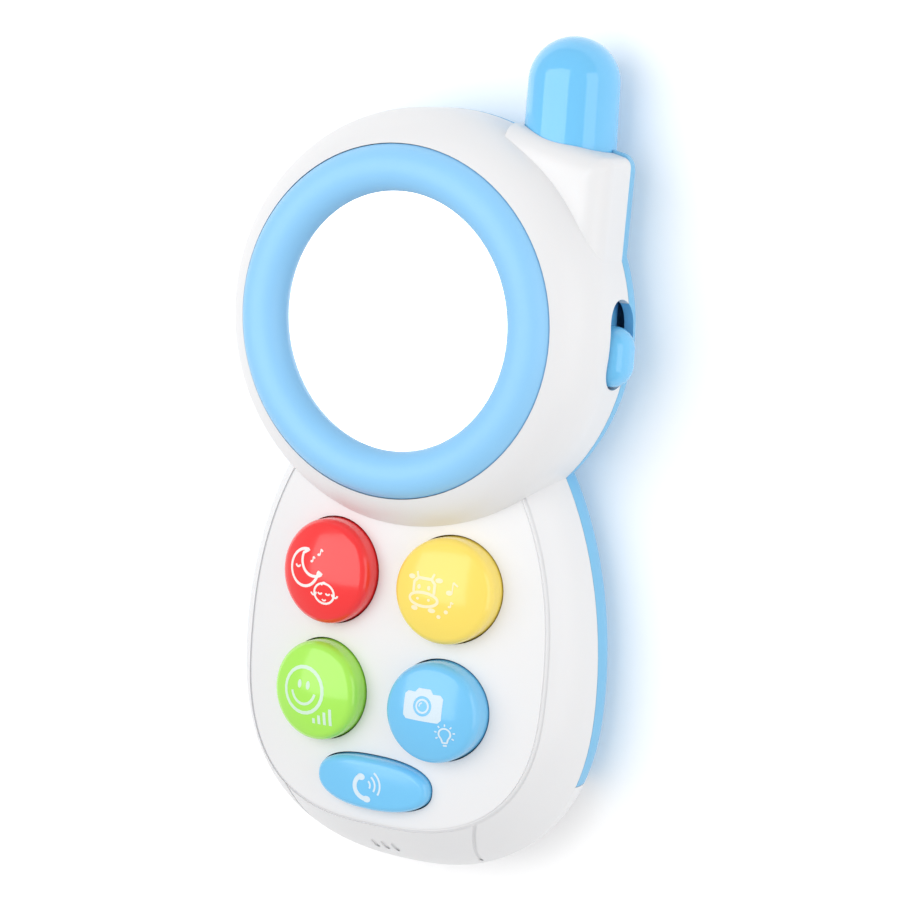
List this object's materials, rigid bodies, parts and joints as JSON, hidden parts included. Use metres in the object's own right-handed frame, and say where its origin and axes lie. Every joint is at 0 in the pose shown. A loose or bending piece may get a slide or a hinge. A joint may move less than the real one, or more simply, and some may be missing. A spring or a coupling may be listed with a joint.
{
  "type": "toy cell phone",
  "caption": "Baby's toy mobile phone with a round mirrored head, stub antenna, picture buttons, a side slide switch and a battery door",
  "frame": {"origin": "on the flat back that the phone lies on, straight under the mirror's centre", "axes": "+Z out of the face, +Y along the phone towards the antenna, +X to the phone's right as it is looked at"},
  "size_m": [0.0904, 0.1785, 0.0362],
  "materials": {
    "white_shell": "satin moulded ABS",
    "blue_shell": "satin moulded ABS",
    "ring_blue": "satin moulded ABS",
    "antenna_blue": "glossy moulded plastic",
    "mirror": "polished acrylic mirror",
    "foam": "closed-cell foam",
    "button_red": "glossy moulded ABS",
    "button_yellow": "glossy moulded ABS",
    "button_green": "glossy moulded ABS",
    "button_blue": "glossy moulded ABS",
    "silicone": "translucent silicone",
    "board": "solder-masked board",
    "resin": "black resin",
    "component": "moulded component",
    "steel": "bright zinc-plated steel",
    "magnet": "nickel-plated",
    "paper": "pressed paper",
    "lamp": "clear epoxy",
    "cell": "printed sleeve",
    "wire_red": "PVC sleeve",
    "wire_black": "PVC sleeve"
  },
  "bodies": {
    "casing": {"front_shell": "white_shell", "rear_shell": "blue_shell", "bezel_ring": "ring_blue", "mirror": "mirror", "mirror_pad": "foam", "antenna": "antenna_blue", "antenna_led": "lamp", "led_board": "board", "sleep_dome": "silicone", "animal_dome": "silicone", "smile_dome": "silicone", "camera_dome": "silicone", "call_dome": "silicone", "main_board": "board", "sound_chip": "resin", "board_components": "component", "speaker_basket": "steel", "speaker_cone": "paper", "speaker_magnet": "magnet", "speaker_clamp": "white_shell", "speaker_clamp_screws": "steel", "slide_switch_body": "steel", "battery_left": "cell", "battery_right": "cell", "battery_positive_contact": "steel", "battery_negative_contact": "steel", "battery_link_contact": "steel", "case_screws": "steel", "board_screws": "steel", "speaker_wires": "wire_black", "battery_wires": "wire_red", "switch_wires": "wire_red", "lamp_wires": "wire_black"},
    "sleep_button": {"sleep_button": "button_red"},
    "animal_button": {"animal_button": "button_yellow"},
    "smile_button": {"smile_button": "button_green"},
    "camera_button": {"camera_button": "button_blue"},
    "call_button": {"call_button": "button_blue"},
    "slide_knob": {"slide_knob": "antenna_blue", "slide_switch_stem": "component"},
    "battery_door": {"battery_door": "blue_shell", "battery_door_screw": "steel"}
  },
  "joints": [
    {"name": "sleep_press", "type": "slide", "parent": "casing", "child": "sleep_button", "axis": [0, 0, -1], "range_m": [0, 0.0018], "stiffness_N_per_m": 900, "springref_m": -0.0006, "deforming": ["sleep_dome"]},
    {"name": "animal_press", "type": "slide", "parent": "casing", "child": "animal_button", "axis": [0, 0, -1], "range_m": [0, 0.0018], "stiffness_N_per_m": 900, "springref_m": -0.0006, "deforming": ["animal_dome"]},
    {"name": "smile_press", "type": "slide", "parent": "casing", "child": "smile_button", "axis": [0, 0, -1], "range_m": [0, 0.0018], "stiffness_N_per_m": 900, "springref_m": -0.0006, "deforming": ["smile_dome"]},
    {"name": "camera_press", "type": "slide", "parent": "casing", "child": "camera_button", "axis": [0, 0, -1], "range_m": [0, 0.0018], "stiffness_N_per_m": 900, "springref_m": -0.0006, "deforming": ["camera_dome"]},
    {"name": "call_press", "type": "slide", "parent": "casing", "child": "call_button", "axis": [0, 0, -1], "range_m": [0, 0.0018], "stiffness_N_per_m": 900, "springref_m": -0.0006, "deforming": ["call_dome"]},
    {"name": "switch_slide", "type": "slide", "parent": "casing", "child": "slide_knob", "axis": [0, 1, 0], "range_m": [0, 0.0042]},
    {"name": "door_off", "type": "slide", "parent": "casing", "child": "battery_door", "axis": [0, 0, -1], "range_m": [0, 0.03]}
  ]
}
